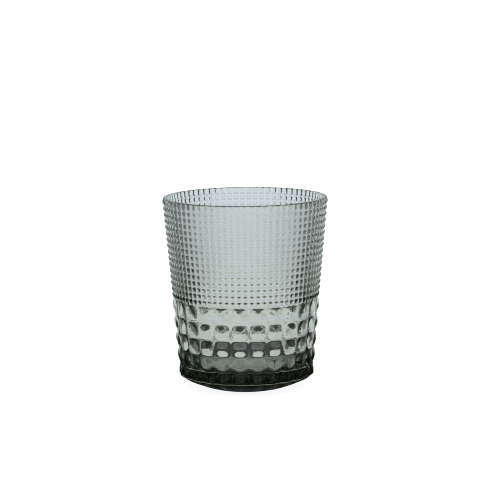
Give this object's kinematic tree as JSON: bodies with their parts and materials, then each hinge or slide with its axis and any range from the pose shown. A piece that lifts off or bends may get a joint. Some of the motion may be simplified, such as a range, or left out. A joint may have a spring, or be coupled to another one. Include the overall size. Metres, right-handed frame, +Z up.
{
  "type": "whiskey tumbler",
  "caption": "Pressed smoke-grey glass whiskey tumbler with a fluted lip, small beads above large beads, and a thick rounded base",
  "frame": {"origin": "centre of the foot ring, on the plane that the tumbler stands on", "axes": "+Z up along the tumbler's axis, +X to the right and -Y towards the viewer"},
  "size_m": [0.0878, 0.0878, 0.1015],
  "materials": {
    "smoke_glass": "polished"
  },
  "bodies": {
    "root": {"glass_tumbler": "smoke_glass"}
  },
  "joints": []
}
